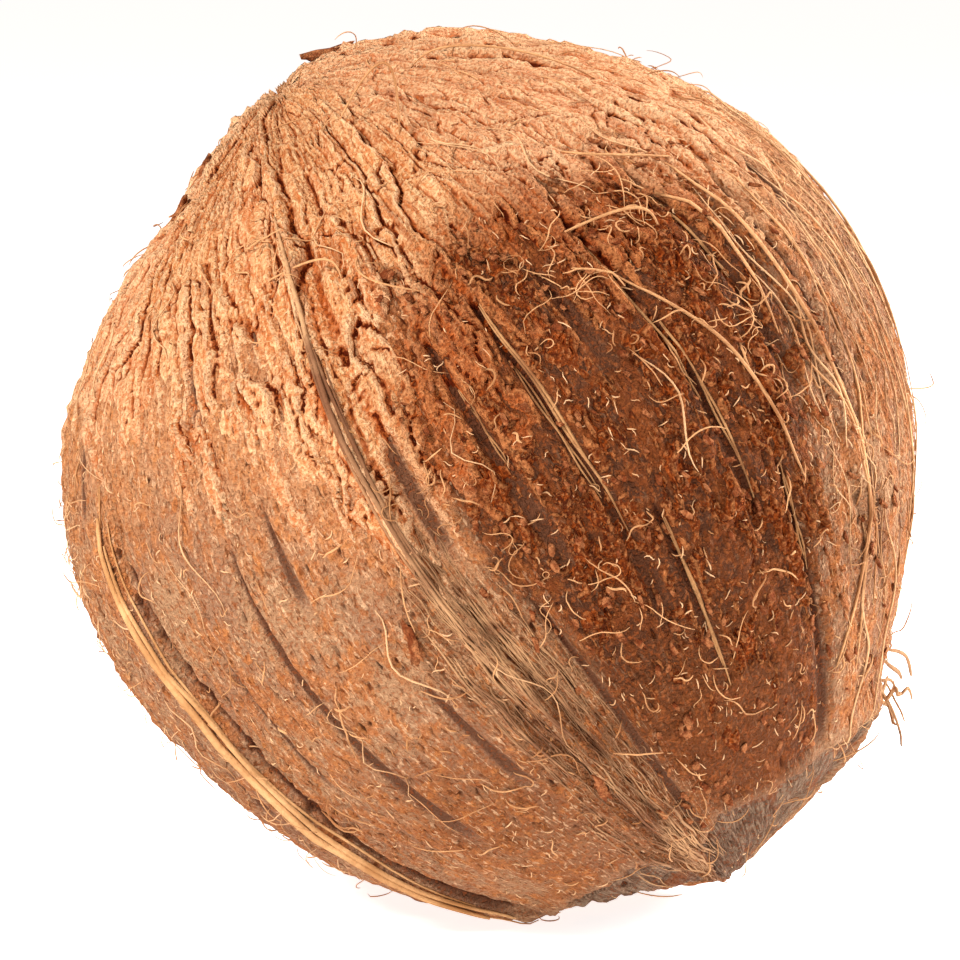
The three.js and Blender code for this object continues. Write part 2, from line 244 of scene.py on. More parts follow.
def line_relief(along, down):
    """The height that grooves and strands give, and how much of each spot is groove floor,
    or lies in the wider valley round a groove."""
    height, groove, valley = (np.zeros_like(down) for _ in range(3))
    for at, spans in LINES:
        off = np.abs(nearest(along - at)) * mm_across(down)
        for start, end, full in spans:
            share = np.clip((down - start) / (end - start), 0, 1)
            opened = step(down, start - GROOVE["opening"], start + GROOVE["opening"])
            opened = opened * (1 - step(down, end - GROOVE["closing"], end + GROOVE["opening"]))
            if full > 0:
                crest = np.sqrt(np.clip(1 - (off / STRAND_HALF_WIDTH) ** 2, 0, 1))
                height += full * opened * crest
                continue
            width = GROOVE["narrow"] + (GROOVE["wide"] - GROOVE["narrow"]) * share
            dug = opened * (1 - step(off, 0.2 * width, width + 0.4))
            height += 0.8 * full * (1 - 0.45 * share) * dug
            groove = np.maximum(groove, opened * (1 - step(off, 0.45 * width, width + 0.1)))
            valley = np.maximum(valley, opened * (1 - step(off, 0.4 * width, width + 0.4)))
    return height, groove, valley


SLOPES = chance_of(SEED).normal(size=(251, 3))
SLOPES = (SLOPES / np.linalg.norm(SLOPES, axis=1, keepdims=True)).T.copy()
PRIMES = (73856093, 19349663, 83492791)
MIXER = 1274126177
SCALE_ROWS = 64  # more than the nut is long, in scales


def grain_place(along, down):
    """A spot's place in the grain, in mm: round the girth as x and y, lengthwise as z."""
    turn = np.radians(along)
    return np.stack([GIRTH * np.sin(turn), -GIRTH * np.cos(turn), MM_PER_DEGREE * down], -1)


def wave(place):
    """Smooth chance from about -1 to 1 that changes over a length of 1."""
    cells = [np.floor(axis) for axis in place]
    inside = [axis - cell for axis, cell in zip(place, cells)]
    ease = [at * at * at * (at * (at * 6 - 15) + 10) for at in inside]
    ease = [(1 - late, late) for late in ease]
    keys = [cell.astype(np.int64) * prime for cell, prime in zip(cells, PRIMES)]
    total = np.zeros_like(inside[0])
    for i, j, k in itertools.product((0, 1), repeat=3):
        mixed = sum(key + corner * prime for key, corner, prime in zip(keys, (i, j, k), PRIMES))
        mixed = (mixed ^ (mixed >> 13)) * MIXER
        slope = SLOPES[:, (mixed >> 9) % SLOPES.shape[1]]
        rise = slope[0] * (inside[0] - i) + slope[1] * (inside[1] - j) + slope[2] * (inside[2] - k)
        total += ease[0][i] * ease[1][j] * ease[2][k] * rise
    return 1.6 * total


def ripple(spots, across, lengthwise, seed):
    """Smooth chance from about -1 to 1, with features of that size in mm.

    The grain draws together toward the ends, so the features are doubled there in steps."""
    turned = np.radians(np.clip(spots[..., 2] / MM_PER_DEGREE, 4, 176))
    level = -np.log2(np.sin(turned))
    whole = np.floor(level)
    coarser = step(level - whole, 0.3, 0.7)
    total = np.zeros(spots.shape[:-1])
    for share, doublings in ((1 - coarser, whole), (coarser, whole + 1)):
        used = share > 0
        wide = across * 2.0 ** doublings[used]
        sizes = (wide, wide, lengthwise)
        place = [spots[used, axis] / size + 31.7 * seed for axis, size in enumerate(sizes)]
        total[used] += share[used] * wave(place)
    return total


def ripples(spots, *waves):
    """Ripples added up, each given as its height, its mm across and along, and its seed."""
    return sum(height * ripple(spots, *wave) for height, *wave in waves)


def tear(spots, *tears):
    """Shifts spots by chance, so that edges drawn on them turn ragged. Each tear is given as
    its size and its shift in mm, and its seed."""
    for size, by, seed in tears:
        shift = [ripple(spots, size, 1.6 * size, seed + i) for i in range(3)]
        spots = spots + by * np.stack(shift, -1)
    return spots


def scales(spots, width, length, seed):
    """Overlapping scales: each grows thicker to the right and toward its lower end, and
    breaks off at both, with its own height."""
    count = round(math.tau * GIRTH / width)
    shift = 1.5 * ripple(spots, 1.6 * width, 3 * length, seed)
    across = np.arctan2(spots[..., 0], -spots[..., 1]) / math.tau * count + shift
    column = np.floor(across).astype(int) % count
    draws = chance_of(seed).random((2, count, SCALE_ROWS))
    lengthwise = spots[..., 2] / length + draws[0, column, 0] + 0.5 * ripple(spots, 3, 7, seed + 1)
    row = np.floor(lengthwise).astype(int) % SCALE_ROWS
    across, lengthwise = across % 1, lengthwise % 1
    thick = (0.3 + 0.7 * across) * (0.6 + 0.4 * lengthwise) * (0.35 + 0.85 * draws[1, column, row])
    return thick * (1 - step(across, 0.87, 0.94)) * (1 - 0.75 * step(lengthwise, 0.9, 0.99))


# --- Heights of the layers that show ---

BARK_EDGE = [  # along and down of the bark's ragged lower edge
    (-110, 56), (-66, 50), (-44, 54), (-30, 60), (-22, 66), (-15, 75), (-11, 84), (-7, 80),
    (-2, 77), (4, 73), (14, 70), (20, 70), (27, 65), (39, 61), (50, 62), (60, 66), (84, 66),
    (120, 58),
]
PITH_TOP = [  # along and down, as is the next one
    (-14, 74), (-3, 60), (3, 55), (14, 49), (26, 47), (39, 51), (50, 57), (62, 66), (80, 70),
]
PITH_END = [
    (-14, 96), (-3, 112), (0, 134), (9, 149), (20, 156), (34, 155), (44, 148), (80, 134),
]
PITH_RIGHT = [  # down and along
    (40, 62), (70, 58), (86, 54), (100, 49), (112, 45), (126, 42), (160, 42),
]
RICH_FADES = {  # degrees either side of those edges; an end gives the share that it takes away
    "sideways": 0.6, "left": (-11, 7), "right": (-15, 8), "top": (-9, 15),
    "ends": [(1, -18, 8)],
}
PITH_FADES = {
    "sideways": 0.8, "left": (-10, 4), "right": (-9, 11), "top": (-4, 6),
    "ends": [(0.6, -50, -14), (1, -22, 4)],
}
FAR_PITH = {"round": (104, 132), "top": (48, 76), "end": (118, 152)}
FACETS = [  # round and down along the rim of each facet of the eye end
    [(-2, 162), (1, 149), (8, 144.5), (19, 146), (33, 147), (46, 147), (62, 148.5), (90, 152),
     (112, 164)],
    [(-60, 158), (-48, 150), (-36, 147), (-27, 147), (-17, 145.5), (-10, 147), (-5, 162)],
    [(126, 164), (150, 152), (180, 147), (205, 150), (232, 163)],
]
BARK_CROWN = {"down": 14, "round": 165, "rise": 1.3, "spread": 17}
SUNK = -3.0  # a layer that gives out goes this far under the next
FACET_DEPTH = 0.6
LEFT_SIDE = (-114, -52, 9)  # low, high and fade of "along", as are the next two
TOP_RIGHT = (26, 122, 12)
RIDGED_SIDE = (-112, -50, 9)

# Tears are given as their size and shift in mm and their seed, and scales as their width
# and length in mm and their seed. Ripples are given as their height, where it isn't worked
# out, their size across and along the grain in mm and their seed. The height is in mm, and
# in degrees for the fringe of an edge.
BARK_TEARS = [(3.4, 1.7, 11), (1.1, 0.45, 14)]
BROAD_SCALES, SMALL_SCALES = (7.5, 18, 2), (3.0, 9, 3)
BARK_SWELLS = [(0.5, 6, 14, 1)]
BARK_CRUMBS = [(0.3, 2.6, 6, 5), (0.14, 1.3, 2.8, 8), (0.22, 0.7, 1.1, 9)]
BROAD_RIBS, FINE_RIBS = [(0.7, 2.6, 26, 7)], [(0.4, 1.3, 15, 17)]
BARK_SLITS, SLIT_PLACES = (5, 24, 4), (8, 14, 6)
BARK_FRINGE = [(9, 4, 14, 10), (6, 1.8, 6, 20)]
RICH_FRINGE = [(5, 7, 12, 71)]
PITH_TEARS = [(2.4, 1.3, 51), (0.9, 0.5, 54)]
PITH_FRINGE = [(6, 5, 10, 61), (4, 2, 4, 63)]
PITH_CLUMPS, PITH_CLODS = [(0.81, 4.5, 11, 21)], [(0.81, 1.8, 3.4, 22)]
PITH_LUMPS = [(2.0, 4.5, 23), (1.0, 2.6, 24)]
PITH_CRUMBS = [(0.45, 0.65, 1.2, 25)]
PITH_LEFT = [(1, 22, 36, 62), (0.3, 6, 12, 64)]
SHELL_TEARS = [(1.6, 0.9, 42)]
SHELL_GRAIN = [(0.24, 3.2, 9, 31), (0.2, 1.3, 3.0, 32), (0.16, 0.8, 1.3, 33)]
SHELL_RIDGES = [(0.5, 2.2, 24, 47), (0.3, 1.1, 12, 48)]
ROUND_PITS, LONG_PITS = (0.9, 1.8, 34), (0.6, 3.0, 35)
FELT = [(0.7, 4, 9, 43), (0.8, 1.6, 3, 44), (0.5, 0.9, 1.6, 46)]
FELT_CRUMBS = [(0.3, 0.85, 1.5, 45)]
WORN_FIBRES = [(0.3, 1.4, 14, 36), (0.45, 0.8, 9, 37)]
BUNDLE_FRINGE = [(3, 3, 20, 38)]
FRAYED = [(0.5, 1.2, 9, 39), (0.35, 0.9, 1.6, 40)]
FACET_FRINGE = [(0.7, 3, 3, 41)]
# the ragged edge of the painted shade over the lower front of the shell
LOW_SHADE_FRINGE = [(4, 9, 9, 49)]


def edge_at(edge, along):
    ends, downs = zip(*edge)
    return np.interp(nearest(along), ends, downs, period=360)


def hump(value, low, high, fade):
    return step(value, low - fade, low + fade) * (1 - step(value, high - fade, high + fade))


def facet_at(turn, down, spots):
    """Degrees inside the nearest facet's rim; less than 0 is outside."""
    inside = np.full_like(down, -30.0)
    for rim in FACETS:
        ends, downs = zip(*rim)
        middle = (ends[0] + ends[-1]) / 2
        away = nearest(turn - middle)
        within = np.interp(away, np.array(ends) - middle, downs, left=200, right=200)
        inside = np.maximum(inside, down - within)
    return inside + ripples(spots, *FACET_FRINGE)


def front_zone(along, down, ragged, sideways, left, right, top, ends):
    """1 between the edges of the pith at the front right, and 0 outside. Each edge fades
    between two distances from its line, in degrees, which the ragged shift moves."""
    near = nearest(along) + sideways * ragged
    inside = step(near, *left) * (1 - step(near - np.interp(down, *zip(*PITH_RIGHT)), *right))
    inside = inside * step(down - edge_at(PITH_TOP, along) + ragged, *top)
    for share, *fade in ends:
        inside = inside * (1 - share * step(down - edge_at(PITH_END, along) + ragged, *fade))
    return inside


def richness(along, down):
    """1 where the husk is dark red-brown, as at the front right, and 0 where it is pale."""
    spots = grain_place(along, down)
    ragged = ripples(spots, *RICH_FRINGE)
    front = front_zone(along, down, ragged, **RICH_FADES)
    return np.maximum(front, 0.75 * far_side(along, down, spots))


def far_side(along, down, spots):
    """1 where the far side keeps some of its pith."""
    zone = step(np.abs(nearest(along)), *FAR_PITH["round"]) * step(down, *FAR_PITH["top"])
    kept = step(ripples(spots, *PITH_LEFT), -0.35, 0.4)
    return zone * (1 - step(down, *FAR_PITH["end"])) * kept


def pith_share(along, down, spots):
    """1 where the pith is thick, as at the front right, and 0 where none is left."""
    ragged = ripples(spots, *PITH_FRINGE)
    front = front_zone(along, down, ragged, **PITH_FADES)
    return np.maximum(front, 0.85 * far_side(along, down, spots))


def bark_height(along, down):
    """Split bark in torn, overlapping scales on the blossom half."""
    spots = grain_place(along, down)
    torn = tear(spots, *BARK_TEARS)
    lines, _, valley = line_relief(along, down)
    left_side = hump(nearest(along), *LEFT_SIDE)
    top_right = hump(nearest(along), *TOP_RIGHT) * (1 - step(down, 60, 74))
    fibrous = np.maximum(top_right, 0.7 * left_side)
    height = (1.8 - 0.9 * left_side) * scales(torn, *BROAD_SCALES) - 0.3
    height += 0.8 * scales(torn, *SMALL_SCALES) + 0.75 * lines
    height += ripples(spots, *BARK_SWELLS) + ripples(torn, *BARK_CRUMBS)
    ribs = ripples(torn, *BROAD_RIBS) + ripples(spots, *FINE_RIBS)
    height += (0.12 + 0.88 * fibrous) * ribs
    slit = 1 - step(np.abs(ripple(torn, *BARK_SLITS)), 0.01, 0.1)
    height -= 0.5 * slit * step(ripple(spots, *SLIT_PLACES), 0.0, 0.2)
    away = apart(down, true_turn(along, down), BARK_CROWN["down"], BARK_CROWN["round"])
    height += BARK_CROWN["rise"] * bell(away, BARK_CROWN["spread"])
    inside = edge_at(BARK_EDGE, along) - down + ripples(torn, *BARK_FRINGE) - 12 * valley
    height += np.clip(0.12 * inside - 0.2, SUNK, 0)
    height += (SUNK - height) * step(-inside, 8, 14)
    return height * step(down, 0, 4), {
        "fibrous": fibrous, "rich": richness(along, down), "ending": step(-inside, -9, 5),
    }


def pith_height(along, down):
    """Crumbly pith between the grooves, thickest at the front right."""
    spots = grain_place(along, down)
    torn = tear(spots, *PITH_TEARS)
    lines, _, valley = line_relief(along, down)
    cover = 1.15 * pith_share(along, down, spots) - 1.2 - 1.4 * valley
    cover += ripples(spots, *PITH_CLUMPS) + ripples(torn, *PITH_CLODS)
    lumps = 0.6 - 0.9 * sum(np.abs(ripple(torn, *lump)) for lump in PITH_LUMPS)
    height = cover + lumps + ripples(torn, *PITH_CRUMBS) + np.maximum(lines, 0)
    height -= 2.5 * step(facet_at(true_turn(along, down), down, spots), -1.5, 0.5)
    band = step(down, 46, 52) * (1 - step(down, 156, 162))
    return SUNK + (height - SUNK) * band, {"rich": richness(along, down)}


def shell_height(along, down):
    """The scraped shell itself, with its grooves, facets, eyes and the stalk's scar."""
    spots = grain_place(along, down)
    torn = tear(spots, *SHELL_TEARS)
    near, turn = nearest(along), true_turn(along, down)
    lines, groove, valley = line_relief(along, down)
    felt = step(ripples(torn, *FELT), -0.3, 0.5) * (1 - valley)
    fine = ripples(spots, *SHELL_GRAIN) + felt * (0.2 + ripples(torn, *FELT_CRUMBS))
    ridged = hump(near, *RIDGED_SIDE) * (1 - step(down, 110, 135))
    fine += ridged * ripples(torn, *SHELL_RIDGES)
    pits = step(ripple(spots, *ROUND_PITS), 0.42, 0.62) + step(ripple(spots, *LONG_PITS), 0.5, 0.7)
    facet = facet_at(turn, down, spots)
    cut = step(facet, 0, 2.2)
    bundle = hump(near + ripples(spots, *BUNDLE_FRINGE), -17, -3, 3.5) * hump(down, 88, 162, 9)
    height = (lines + bundle * ripples(spots, *WORN_FIBRES)) * (1 - cut)
    height += (fine - 0.35 * pits) * (1 - 0.8 * groove)
    height += 0.5 * bell(facet + 0.6, 1.6) + (ripples(spots, *FRAYED) - FACET_DEPTH) * cut
    for number in range(3):
        away = apart(down, turn, EYE["down"], HOLLOW["round"] + SEAM_SPACING * number)
        dent = 1 - step(away * MM_PER_DEGREE, 0.6 * EYE["radius"], EYE["radius"])
        height -= EYE["depth"] * dent
    across = nearest(turn - SCAR["round"]) * mm_across(down) / SCAR["length"]
    lengthwise = (down - SCAR["down"]) * MM_PER_DEGREE / SCAR["width"]
    scar = 1 - step(np.hypot(across, lengthwise), 0.5, 1)
    height -= SCAR["depth"] * scar
    still = step(np.minimum(down, 180 - down), 0, 5)
    under = step(down, 44, 50)  # nothing of it shows under the bark
    # painted shade: the lower front of the shell, where less light falls, is darkened
    low_shade = hump(near + ripples(spots, *LOW_SHADE_FRINGE), -40, 30, 10) * step(down, 98, 128)
    return SUNK * (1 - under) + height * still * under, {
        "groove": np.maximum(groove, 0.5 * valley) * (1 - cut), "scar": scar,
        "facet": cut, "rim": bell(facet + 0.4, 1.3), "low_shade": low_shade,
        "rich": richness(along, down), "bundle": bundle, "felt": felt * (1 - cut),
        "bark_side": 1 - step(down - edge_at(BARK_EDGE, along), -2, 26),
    }


BARK_PATCH = {"along": (-76, 66), "down": (3, 95), "columns": 352, "rows": 252}
PITH_PATCH = {"along": (-15, 74), "down": (44, 152), "columns": 270, "rows": 350}


def inside_patch(patch, along, down):
    """Degrees from a place inside a patch to its border; less than 0 is outside."""
    sides = np.minimum(nearest(along) - patch["along"][0], patch["along"][1] - nearest(along))
    ends = np.minimum(down - patch["down"][0], patch["down"][1] - down)
    return np.minimum(sides, ends)


def husk_height(along, down):
    """The bark and pith of the sides and the back, sunk where the front has its own."""
    bark_top, marks = bark_height(along, down)
    pith_top, _ = pith_height(along, down)
    bark_top += (SUNK - bark_top) * step(inside_patch(BARK_PATCH, along, down), 1.6, 3.2)
    pith_top += (SUNK - pith_top) * step(inside_patch(PITH_PATCH, along, down), 1.6, 3.2)
    marks["pith"] = step(pith_top - bark_top, -0.1, 0.1)
    return np.maximum(bark_top, pith_top), marks


# --- Layers ---

WELD = 0.002  # mm, closer than any two points of a grid
DEEPEST = -2.0  # mm, the deepest part of a layer that can be seen
PIT, CRACK = 14, 3  # spots of a grid over which a pit and a crack are felt


def settle(bm, mesh):
    bm.to_mesh(mesh)
    bm.free()
    return mesh


def weld(mesh, rim_only):
    """Joins points that lie on each other, in the whole mesh or along its open rim."""
    bm = bmesh.new()
    bm.from_mesh(mesh)
    verts = [vert for vert in bm.verts if vert.is_boundary or not rim_only]
    bmesh.ops.remove_doubles(bm, verts=verts, dist=WELD * MM)
    settle(bm, mesh)


def mark(mesh, name, values):
    """Stores one number, or one vector, for each point of a mesh."""
    vector = values.ndim == 2
    kind, field = ("FLOAT_VECTOR", "vector") if vector else ("FLOAT", "value")
    attribute = mesh.attributes.new(name, kind, "POINT")
    attribute.data.foreach_set(field, values.astype(np.float32).ravel())


def below_neighbours(height, rounds):
    """How far each spot of a grid lies under the mean of what is round it, in mm."""
    mean = height
    for _ in range(rounds):
        beside = np.roll(mean, 1, 1) + np.roll(mean, -1, 1)
        mean = (beside + np.roll(mean, 1, 0) + np.roll(mean, -1, 0) + mean) / 5
    return mean - height


def crowded_columns(count, focus, crowding):
    """Turns of the columns, from one seam of the grid to the same seam again, which lie
    closer together near the focus."""
    even = np.linspace(0, 360, count + 1) + focus - 180
    return even - crowding * np.sin(np.radians(even - focus))


def put(name, data):
    """Adds an object to the scene."""
    thing = bpy.data.objects.new(name, data)
    bpy.context.scene.collection.objects.link(thing)
    return thing


def show(mesh, name, material):
    piece = put(name, mesh)
    mesh.materials.clear()
    mesh.materials.append(material)
    mesh.shade_smooth()
    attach(piece, BODY)
    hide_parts(NODE)
    return piece


def shape_grid(mesh, along, down, height, marks):
    """Moves each point of a flat grid to its place over the nut, and marks it."""
    rows, columns = along.shape
    flat = np.empty(len(mesh.vertices) * 3, np.float32)
    mesh.vertices.foreach_get("co", flat)
    flat = flat.reshape(-1, 3)
    column = np.rint((flat[:, 0] + 1) / 2 * (columns - 1)).astype(int)
    row = np.rint((1 - flat[:, 1]) / 2 * (rows - 1)).astype(int)
    points = on_nut(along, down, height) * MM
    mesh.vertices.foreach_set("co", points[row, column].astype(np.float32).ravel())
    shown = np.maximum(height, DEEPEST)
    # how far a spot lies below what is round it; the materials paint shade where it lies below and
    # highlights where it stands above
    marks["sunken"] = below_neighbours(shown, PIT)
    marks["crevice"] = below_neighbours(shown, CRACK)
    for label, values in marks.items():
        mark(mesh, label, values[row, column])
    mark(mesh, "grain", grain_place(along, down)[row, column])


def flat_grid(columns, rows):
    bm = bmesh.new()
    bmesh.ops.create_grid(bm, x_segments=columns - 1, y_segments=rows - 1, size=1)
    return bm


def grow_layer(name, columns, rows, height_of, material):
    """A closed skin over the nut: a grid bent round it, its seam and its poles welded."""
    mesh = settle(flat_grid(len(columns), len(rows)), bpy.data.meshes.new(name))
    along, down = np.meshgrid(columns, rows)
    shape_grid(mesh, along, down, *height_of(along, down))
    weld(mesh, rim_only=True)
    return show(mesh, name, material)


def grow_patch(name, patch, height_of, pith, material):
    """A finer skin over part of the nut, sunk in at its border and closed underneath."""
    bm = flat_grid(patch["columns"], patch["rows"])
    bmesh.ops.holes_fill(bm, edges=[edge for edge in bm.edges if edge.is_boundary])
    mesh = settle(bm, bpy.data.meshes.new(name))
    columns = np.linspace(*patch["along"], patch["columns"])
    along, down = np.meshgrid(columns, np.linspace(*patch["down"], patch["rows"]))
    height, marks = height_of(along, down)
    height = SUNK + (height - SUNK) * step(inside_patch(patch, along, down), 0.0, 1.2)
    marks["pith"] = np.full_like(height, pith)
    for label in ("fibrous", "ending"):
        marks.setdefault(label, np.zeros_like(height))
    shape_grid(mesh, along, down, height, marks)
    return show(mesh, name, material)


# --- Colours and nodes ---


def colour(code):
    """An sRGB hex code as linear red, green, blue and alpha."""
    parts = [int(code[i : i + 2], 16) / 255 for i in (1, 3, 5)]
    linear = [p / 12.92 if p <= 0.04045 else ((p + 0.055) / 1.055) ** 2.4 for p in parts]
    return (*linear, 1.0)


def add(tree, kind, inputs=None, **settings):
    """Adds one node: inputs maps sockets to values, or to the outputs that feed them."""
    made = tree.nodes.new(kind)
    for name, value in settings.items():
        setattr(made, name, value)
    for socket, value in (inputs or {}).items():
        if isinstance(value, bpy.types.NodeSocket):
            tree.links.new(value, made.inputs[socket])
        else:
            made.inputs[socket].default_value = value
    return made


def new_material(name):
    material = bpy.data.materials.new(name)
    material.use_nodes = True
    material.node_tree.nodes.clear()
    return material, material.node_tree


def marked(tree, name, low=0.0, high=1.0):
    """0 to 1 where a mark stored on the mesh goes from low to high."""
    value = add(tree, "ShaderNodeAttribute", attribute_name=name).outputs["Fac"]
    sockets = {"Value": value, "From Min": low, "From Max": high}
    return add(tree, "ShaderNodeMapRange", sockets, interpolation_type="SMOOTHSTEP").outputs[0]


def by_chance(tree, place, sizes, low, high, detail, ragged):
    """Patches of those sizes, 0 to 1 where chance goes from low to high, with ragged edges."""
    sockets = {0: place, 1: [1 / size for size in sizes]}
    place = add(tree, "ShaderNodeVectorMath", sockets, operation="MULTIPLY").outputs[0]
    sockets = {"Vector": place, "Scale": 1.0, "Detail": detail, "Distortion": ragged}
    spread = add(tree, "ShaderNodeTexNoise", sockets).outputs["Fac"]
    sockets = {"Value": spread, "From Min": low, "From Max": high}
    return add(tree, "ShaderNodeMapRange", sockets, interpolation_type="SMOOTHSTEP").outputs[0]


def patches(tree, size, low, high, detail=3.0, ragged=0.4):
    """Patches of that size in mm, the same in every direction."""
    place = add(tree, "ShaderNodeTexCoord").outputs["Object"]
    return by_chance(tree, place, [size * MM] * 3, low, high, detail, ragged)


def streaks(tree, across, lengthwise, low, high, detail=4.0, ragged=0.8):
    """Patches that follow the grain, so many mm across it and along it."""
    place = add(tree, "ShaderNodeAttribute", attribute_name="grain").outputs["Vector"]
    return by_chance(tree, place, (across, across, lengthwise), low, high, detail, ragged)


def lay(tree, base, *layers):
    """Lays colours over a first one. Each layer is a colour and the shares that say how much
    of it shows, which are multiplied. A colour may be a hex code, and a share a number or
    a pattern with its settings."""
    for over, *shares in layers:
        base, over = (colour(c) if isinstance(c, str) else c for c in (base, over))
        shares = [s[0](tree, *s[1:]) if isinstance(s, tuple) else s for s in shares]
        share = shares[0]
        for other in shares[1:]:
            both = {0: share, 1: other}
            share = add(tree, "ShaderNodeMath", both, operation="MULTIPLY").outputs[0]
        sockets = {0: share, 6: base, 7: over}
        base = add(tree, "ShaderNodeMix", sockets, data_type="RGBA").outputs[2]
    return base


def finish_material(tree, base, height, depth, roughness, specular):
    """The surface itself, with relief of that depth in mm."""
    sockets = {"Height": height, "Strength": 1.0, "Distance": depth * MM}
    normal = add(tree, "ShaderNodeBump", sockets).outputs["Normal"]
    sockets = {
        "Base Color": base, "Normal": normal, "Roughness": roughness,
        "Specular IOR Level": specular, "IOR": 1.45,
    }
    surface = add(tree, "ShaderNodeBsdfPrincipled", sockets).outputs["BSDF"]
    add(tree, "ShaderNodeOutputMaterial", {"Surface": surface})


# --- Materials ---

BARK = [
    ("#e2ac7a", (patches, 13, 0.38, 0.62)),
    ("#c27a45", (streaks, 1.2, 7, 0.5, 0.64), 0.6),
    ("#f2cb98", (streaks, 0.6, 3, 0.5, 0.66), 0.65),
    ("#bb6432", (streaks, 3.0, 7, 0.52, 0.62, 5.0, 1.2), 0.6),
    ("#dfa783", (marked, "fibrous"), 0.35),
    ("#b87248", (marked, "ending"), 0.6),
    ("#8d461f", (marked, "rich", 0.0, 0.9), 0.85),
]
DEEP_PITH = [
    ("#6c2f11", (patches, 4.5, 0.42, 0.58, 5.0, 1.2)),
    ("#7e411f", (streaks, 0.7, 1.3, 0.54, 0.66, 5.0, 1.5), 0.55),
]
PALE_PITH = [("#9c6039", (patches, 5, 0.4, 0.6))]
WORN = [("#b58660", (streaks, 0.4, 9, 0.42, 0.56, 4.0, 0.4))]
FRAYED_FACET = [
    ("#967b64", (streaks, 0.8, 4, 0.4, 0.62, 6.0, 1.2)),
    ("#8a4b29", (patches, 5, 0.55, 0.65, 5.0), 0.7),
]


def torn_husk():
    """Dried husk, torn off by hand and dull all over: peach-coloured bark in split scales,
    with streaks along the grain and rust-coloured patches, red-brown pith with orange
    crumbs, paler where little is left, and rust-coloured slopes. Painted shade darkens every
    crack and hollow and the pits of the grit, and painted highlights lighten the crests.
    A fine grit of 0.4 to 0.5 mm lies over both."""
    material, tree = new_material("dry_hand_torn_husk")
    bare, dry = marked(tree, "pith", 1.0, 0.0), marked(tree, "rich", 0.7, 0.0)
    bark = lay(tree, "#d39460", *BARK)
    deep, pale_pith = lay(tree, "#451a08", *DEEP_PITH), lay(tree, "#8a4b28", *PALE_PITH)
    pale = patches(tree, 0.42, 0.54, 0.68, 2.0, 0.2)
    base = lay(
        tree, pale_pith,
        (deep, (marked, "rich", 0.05, 0.75)),
        (bark, bare),
        ("#b0571f", (patches, 0.5, 0.5, 0.62, 3.0, 0.2), 0.35),
        ("#f5cb9d", pale, 0.5, bare, dry),
        ("#cc8c5a", pale, 0.3),
        # painted highlights: lighter colour on crests that stand above what is round them
        ("#c27c49", (marked, "crevice", -0.06, -0.3), 0.5),
        ("#f3c699", (marked, "crevice", -0.04, -0.22), 0.5, bare, dry),
        # painted shade: the next three layers darken and redden cracks and hollows, by how far a
        # spot lies below what is round it
        ("#bb5a22", (marked, "crevice", 0.0, 0.1), 0.5),
        ("#a5460f", (marked, "sunken", 0.06, 0.4), 0.75),
        ("#5e1c05", (marked, "sunken", 0.25, 0.75), 0.9),
        ("#8a3a12", (streaks, 1.5, 10, 0.6, 0.68, 3.0, 0.3), 0.5, bare),
        # painted shade: near-black in the narrow cracks
        ("#4e1503", (marked, "crevice", 0.06, 0.24), 0.95),
        # painted shade in the pits of the grit: the same noise as the grit's bump, darkened where
        # it is low
        (lay(tree, "#4c1a08", ("#a85827", bare, dry)), (patches, 0.42, 0.47, 0.35, 3.0, 0.0), 0.7),
    )
    grit = patches(tree, 0.42, 0.3, 0.7, 3.0, 0.0)
    finish_material(tree, base, grit, depth=0.32, roughness=0.95, specular=0.06)
    return material


def scraped_shell():
    """Coconut shell with its husk scraped off: dull taupe under a felt of rust-coloured
    husk, with dark specks, pale broken hairs, and smooth grooves. Painted shade darkens its
    hollows, cracks, the pits of its grit, the stalk's scar and the lower front."""
    material, tree = new_material("scraped_coconut_shell")
    felt, lively = marked(tree, "felt"), marked(tree, "rich", 1.3, 0.0)
    base = lay(
        tree, "#9d7153",
        ("#ae825e", (patches, 11, 0.38, 0.62)),
        ("#b36c3c", felt, 0.7),
        ("#cc8e5f", (marked, "bark_side"), 0.6),
        (lay(tree, "#54301d", ("#6f3717", felt)), (marked, "rich", 0.05, 0.7)),
        (lay(tree, "#744a2e", *WORN), (marked, "bundle"), 0.85),
        # painted shade darkening the lower front
        ("#74401f", (marked, "low_shade"), 0.6),
        ("#c0773f", (patches, 0.9, 0.5, 0.6, 4.0, 0.2), 0.6, felt, lively),
        ("#a35a2d", (patches, 0.7, 0.52, 0.64, 4.0, 0.2), 0.5),
        ("#64300f", (streaks, 0.5, 1.4, 0.58, 0.66, 3.0, 0.4), 0.75),
        ("#e2b48a", (streaks, 0.42, 1.4, 0.58, 0.67, 2.0, 0.5), 0.55, lively),
        ("#85604b", (marked, "groove", 0.3, 1.0), 0.7, lively),
        ("#55301c", (marked, "groove", 0.6, 1.0), 0.75),
        ("#5f3a26", (marked, "groove", 0.2, 0.95), (marked, "rich"), 0.6),
        (lay(tree, "#5f4535", *FRAYED_FACET), (marked, "facet"), 0.9),
        ("#a58062", (marked, "rim"), 0.35),
        # painted shade: darker in hollows and cracks, by how far a spot lies below what is round
        # it
        ("#5a2c16", (marked, "sunken", 0.12, 0.9), 0.85),
        ("#3f1b0c", (marked, "crevice", 0.1, 0.35), 0.8),
        # painted shade: the stalk's scar, a deep pit, is filled near-black
        ("#241008", (marked, "scar")),
        # painted shade in the pits of the grit: the same noise as the grit's bump, darkened where
        # it is low
        ("#7d3c17", (patches, 0.5, 0.47, 0.35, 3.0, 0.0), 0.6),
    )
    grit = patches(tree, 0.5, 0.3, 0.7, 3.0, 0.0)
    finish_material(tree, base, grit, depth=0.45, roughness=0.85, specular=0.1)
    return material


